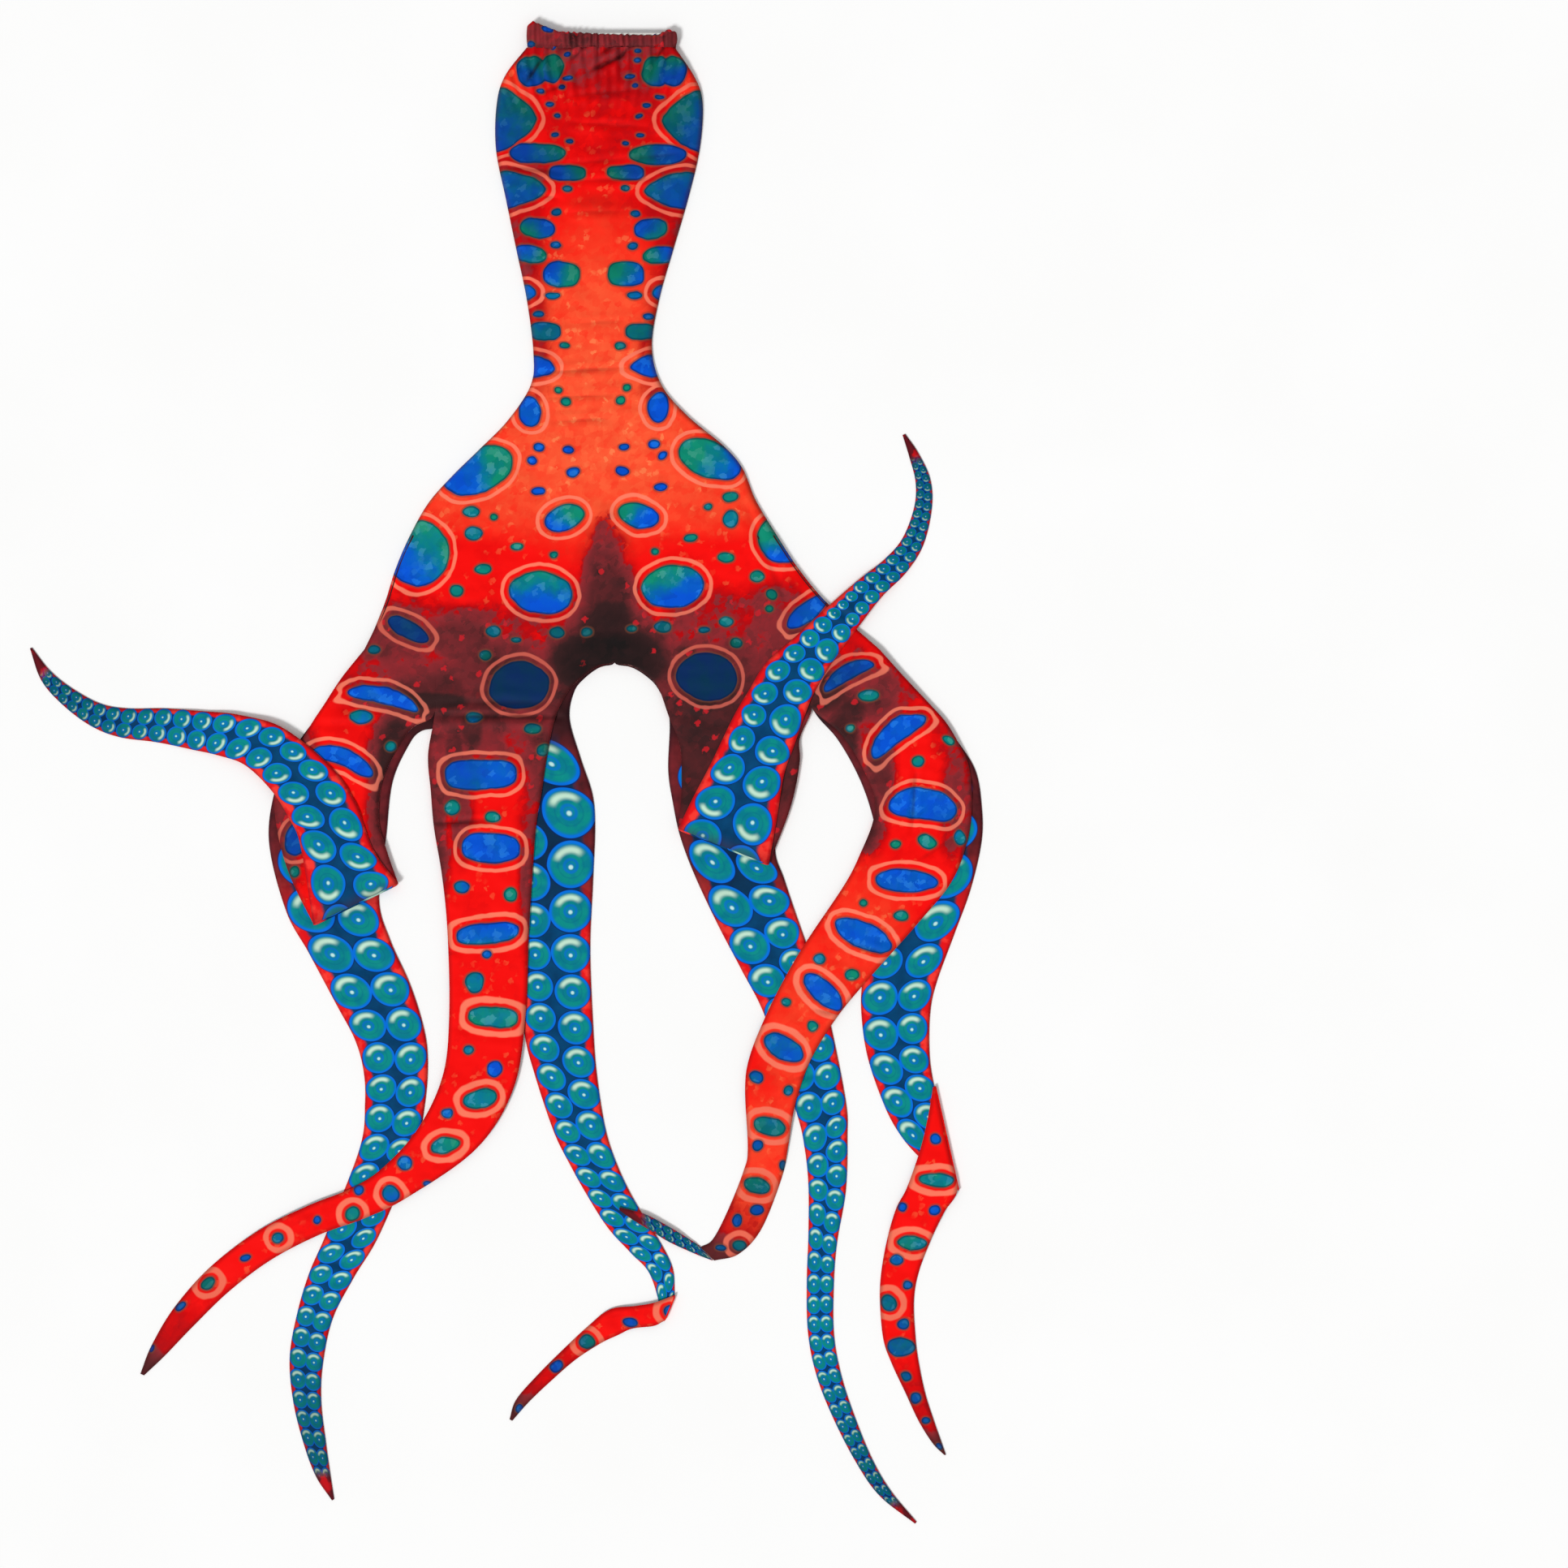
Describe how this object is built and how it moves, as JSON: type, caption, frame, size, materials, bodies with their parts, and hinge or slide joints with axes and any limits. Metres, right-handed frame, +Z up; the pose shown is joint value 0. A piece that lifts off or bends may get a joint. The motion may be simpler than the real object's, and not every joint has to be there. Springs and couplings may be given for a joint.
{
  "type": "octopus tail costume skirt",
  "caption": "Stretch-cloth octopus tail costume skirt laid flat, with a gathered elastic waist, a narrow knee, a flare and long tentacles, each a flat sewn tube with suckers on its inner face.",
  "frame": {"origin": "middle of the bounding box's base: the surface that the skirt lies on, half way across and half way from the waist to the lowest tip", "axes": "+X across the body, to the right seen from above with the waist at the top; +Y towards the waist, the long way; +Z up, out of the surface"},
  "size_m": [1.7567, 2.7543, 0.017],
  "materials": {
    "spotted_print_knit": "smooth stretch knit, red print with blue-green spots in pale rings",
    "sucker_print_knit": "smooth stretch knit, deep blue print with rows of round suckers",
    "facing_knit": "dark maroon stretch knit",
    "woven_elastic": "ribbed woven elastic",
    "sewing_thread": "polyester thread"
  },
  "bodies": {
    "tail": {"back_1_outer_root": "spotted_print_knit", "back_1_suckers_root": "sucker_print_knit", "back_2_outer_root": "spotted_print_knit", "back_2_suckers_root": "sucker_print_knit", "back_3_outer_root": "spotted_print_knit", "back_3_suckers_root": "sucker_print_knit", "back_4_outer_root": "spotted_print_knit", "back_4_suckers_root": "sucker_print_knit", "back_facing": "facing_knit", "back_panel": "spotted_print_knit", "casing_stitch": "sewing_thread", "front_1_outer_root": "spotted_print_knit", "front_1_suckers_root": "sucker_print_knit", "front_2_outer_root": "spotted_print_knit", "front_2_suckers_root": "sucker_print_knit", "front_3_outer_root": "spotted_print_knit", "front_3_suckers_root": "sucker_print_knit", "front_4_outer_root": "spotted_print_knit", "front_4_suckers_root": "sucker_print_knit", "front_facing": "facing_knit", "front_panel": "spotted_print_knit", "side_seam_left": "spotted_print_knit", "side_seam_right": "spotted_print_knit", "waist_casing": "spotted_print_knit", "waist_elastic": "woven_elastic"},
    "front_1": {"front_1_outer_free": "spotted_print_knit", "front_1_suckers_free": "sucker_print_knit"},
    "front_2": {"front_2_outer_free": "spotted_print_knit", "front_2_suckers_free": "sucker_print_knit"},
    "front_3": {"front_3_outer_free": "spotted_print_knit", "front_3_suckers_free": "sucker_print_knit"},
    "front_4": {"front_4_outer_free": "spotted_print_knit", "front_4_outer_tip": "spotted_print_knit", "front_4_suckers_free": "sucker_print_knit", "front_4_suckers_tip": "sucker_print_knit"},
    "back_1": {"back_1_outer_free": "spotted_print_knit", "back_1_suckers_free": "sucker_print_knit"},
    "back_2": {"back_2_outer_free": "spotted_print_knit", "back_2_suckers_free": "sucker_print_knit"},
    "back_3": {"back_3_outer_free": "spotted_print_knit", "back_3_suckers_free": "sucker_print_knit"},
    "back_4": {"back_4_outer_free": "spotted_print_knit", "back_4_suckers_free": "sucker_print_knit"}
  },
  "joints": [
    {"name": "front_1_fold", "type": "hinge", "parent": "tail", "child": "front_1", "pos_m": [-0.276, -0.233, 0.0115], "axis": [0.899, 0.438, 0], "range_deg": [0, 150]},
    {"name": "front_2_lift", "type": "hinge", "parent": "tail", "child": "front_2", "pos_m": [-0.038, -0.093, 0.011], "axis": [-1, 0, 0], "range_deg": [0, 60]},
    {"name": "front_3_fold", "type": "hinge", "parent": "tail", "child": "front_3", "pos_m": [0.4025, -0.127, 0.0115], "axis": [0.93, -0.3676, 0], "range_deg": [0, 150]},
    {"name": "front_4_lift", "type": "hinge", "parent": "tail", "child": "front_4", "pos_m": [0.759, 0.015, 0.011], "axis": [-0.9995, -0.0309, 0], "range_deg": [0, 60]},
    {"name": "back_1_lift", "type": "hinge", "parent": "tail", "child": "back_1", "pos_m": [-0.2825, -0.843, 0.005], "axis": [-1, 0, 0], "range_deg": [0, 60]},
    {"name": "back_2_fold", "type": "hinge", "parent": "tail", "child": "back_2", "pos_m": [0.302, -0.979, 0.0055], "axis": [0.3846, 0.9231, 0], "range_deg": [0, 150]},
    {"name": "back_3_lift", "type": "hinge", "parent": "tail", "child": "back_3", "pos_m": [0.582, -0.6045, 0.005], "axis": [-0.9578, -0.2873, 0], "range_deg": [0, 60]},
    {"name": "back_4_fold", "type": "hinge", "parent": "tail", "child": "back_4", "pos_m": [0.8135, -0.666, 0.0055], "axis": [-0.2185, 0.9758, 0], "range_deg": [0, 150]}
  ]
}
